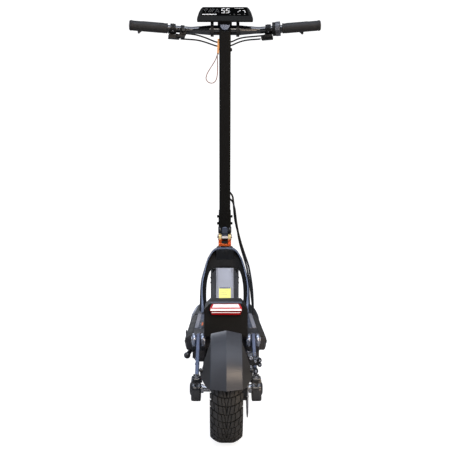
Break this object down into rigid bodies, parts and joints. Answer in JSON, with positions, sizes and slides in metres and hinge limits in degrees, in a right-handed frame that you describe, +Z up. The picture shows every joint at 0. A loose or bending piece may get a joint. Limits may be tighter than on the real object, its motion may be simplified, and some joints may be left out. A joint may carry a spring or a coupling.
{
  "type": "electric kick scooter",
  "caption": "Folding electric kick scooter with sprung swing arms, disc brakes, hub motors, arched neck, kickplate and a wide bar display.",
  "frame": {"origin": "on the ground under the middle of the scooter's bounding box", "axes": "+Y forward, +X the rider's right, +Z up"},
  "size_m": [0.6212, 1.2351, 1.24],
  "materials": {
    "black_frame": "satin black powder coat",
    "orange_metal": "gloss orange anodised",
    "silver": "satin",
    "steel": "machined",
    "tyre_rubber": "moulded tread",
    "rubber": "matte",
    "black_plastic": "textured",
    "gloss_black": "gloss",
    "red_lens": "clear red lens",
    "white_lens": "clear lens",
    "webbing": "woven",
    "cable": "sheath",
    "cells": "shrink wrap"
  },
  "bodies": {
    "deck": {"deck_tub": "black_frame", "deck_lid": "black_frame", "grip_mat": "rubber", "battery_pack": "cells", "controller": "silver", "neck": "black_frame", "arch_arm_left": "black_frame", "arch_arm_right": "black_frame", "headset_bearings": "steel", "kickplate": "black_plastic", "tail_light": "red_lens", "rear_pivot_brackets": "black_frame", "rear_pivot_bushes": "rubber", "charge_port": "black_plastic", "kickstand_bracket": "steel", "rear_cables": "cable", "harness_lower": "cable"},
    "charge_cap": {"charge_cap": "rubber"},
    "kickstand": {"kickstand_leg": "black_frame"},
    "rear_suspension": {"rear_arm_left": "black_frame", "rear_arm_right": "black_frame", "rear_axle": "steel", "rear_fender": "black_plastic", "rear_caliper": "steel"},
    "rear_wheel": {"rear_tyre": "tyre_rubber", "rear_hub_motor": "silver", "rear_disc": "steel"},
    "steering": {"fork_steerer": "black_frame", "fork_legs": "black_frame", "front_pivot_bushes": "rubber", "hinge_base": "orange_metal", "hinge_pin": "steel"},
    "front_suspension": {"front_arms": "black_frame", "front_axle": "steel", "front_fender": "black_plastic", "front_caliper": "steel"},
    "front_wheel": {"front_tyre": "tyre_rubber", "front_hub_motor": "silver", "front_disc": "steel"},
    "stem": {"stem_tube": "black_frame", "stem_foot": "black_frame", "handlebar": "black_frame", "grip_left": "rubber", "grip_right": "rubber", "lever_perches": "black_plastic", "display_housing": "black_plastic", "display_glass": "gloss_black", "display_clamps": "black_plastic", "throttle_body": "black_plastic", "switch_pod": "black_plastic", "headlight": "white_lens", "lanyard_tab": "webbing", "lanyard_cord": "webbing", "handlebar_hoses": "cable", "harness_upper": "cable"},
    "brake_lever_left": {"brake_lever_left": "black_frame"},
    "brake_lever_right": {"brake_lever_right": "black_frame"},
    "thumb_throttle": {"thumb_throttle": "silver"},
    "horn_button": {"horn_button": "rubber"},
    "latch_lever": {"latch_lever": "black_frame"}
  },
  "joints": [
    {"name": "steer", "type": "hinge", "parent": "deck", "child": "steering", "pos_m": [0, 0.35293, 0.483], "axis": [0, -0.2504, 0.9681], "range_deg": [-35, 35], "deforming": ["harness_lower"]},
    {"name": "fold", "type": "hinge", "parent": "steering", "child": "stem", "pos_m": [0, 0.35293, 0.483], "axis": [1, 0, 0], "range_deg": [0, 80], "deforming": ["harness_upper"]},
    {"name": "fold_latch", "type": "hinge", "parent": "steering", "child": "latch_lever", "pos_m": [0, 0.38358, 0.47233], "axis": [-1, 0, 0], "range_deg": [0, 75]},
    {"name": "rear_suspension_pivot", "type": "hinge", "parent": "deck", "child": "rear_suspension", "pos_m": [0, -0.325, 0.222], "axis": [-1, 0, 0], "range_deg": [0, 12], "stiffness_Nm_per_rad": 420, "springref_deg": -7.45, "deforming": ["rear_cables"]},
    {"name": "front_suspension_pivot", "type": "hinge", "parent": "steering", "child": "front_suspension", "pos_m": [0, 0.363, 0.222], "axis": [1, 0, 0], "range_deg": [0, 12], "stiffness_Nm_per_rad": 420, "springref_deg": -7.45},
    {"name": "rear_wheel_spin", "type": "hinge", "parent": "rear_suspension", "child": "rear_wheel", "pos_m": [0, -0.475, 0.127], "axis": [1, 0, 0], "continuous": true},
    {"name": "front_wheel_spin", "type": "hinge", "parent": "front_suspension", "child": "front_wheel", "pos_m": [0, 0.475, 0.127], "axis": [1, 0, 0], "continuous": true},
    {"name": "brake_squeeze_right", "type": "hinge", "parent": "stem", "child": "brake_lever_right", "pos_m": [0.14621, 0.20414, 1.15813], "axis": [0.0414, -0.0066, -0.9991], "range_deg": [0, 12], "stiffness_Nm_per_rad": 1.2, "springref_deg": -8.59},
    {"name": "brake_squeeze_left", "type": "hinge", "parent": "stem", "child": "brake_lever_left", "pos_m": [-0.17518, 0.19955, 1.15936], "axis": [0.0414, 0.0066, 0.9991], "range_deg": [0, 12], "stiffness_Nm_per_rad": 1.2, "springref_deg": -8.59},
    {"name": "throttle_push", "type": "hinge", "parent": "stem", "child": "thumb_throttle", "pos_m": [0.16895, 0.17421, 1.16328], "axis": [0.9868, -0.1563, 0.0419], "range_deg": [0, 45], "stiffness_Nm_per_rad": 0.1, "springref_deg": -17.19},
    {"name": "horn_press", "type": "slide", "parent": "stem", "child": "horn_button", "axis": [-0.1564, 0.9877, 0], "range_m": [0, 0.0015], "stiffness_N_per_m": 300, "springref_m": -0.002},
    {"name": "stand_swing", "type": "hinge", "parent": "deck", "child": "kickstand", "pos_m": [-0.097, -0.153, 0.17], "axis": [1, 0, 0], "range_deg": [0, 72]},
    {"name": "charge_flap", "type": "hinge", "parent": "deck", "child": "charge_cap", "pos_m": [-0.1118, -0.13, 0.219], "axis": [0, 1, 0], "range_deg": [0, 110]}
  ]
}
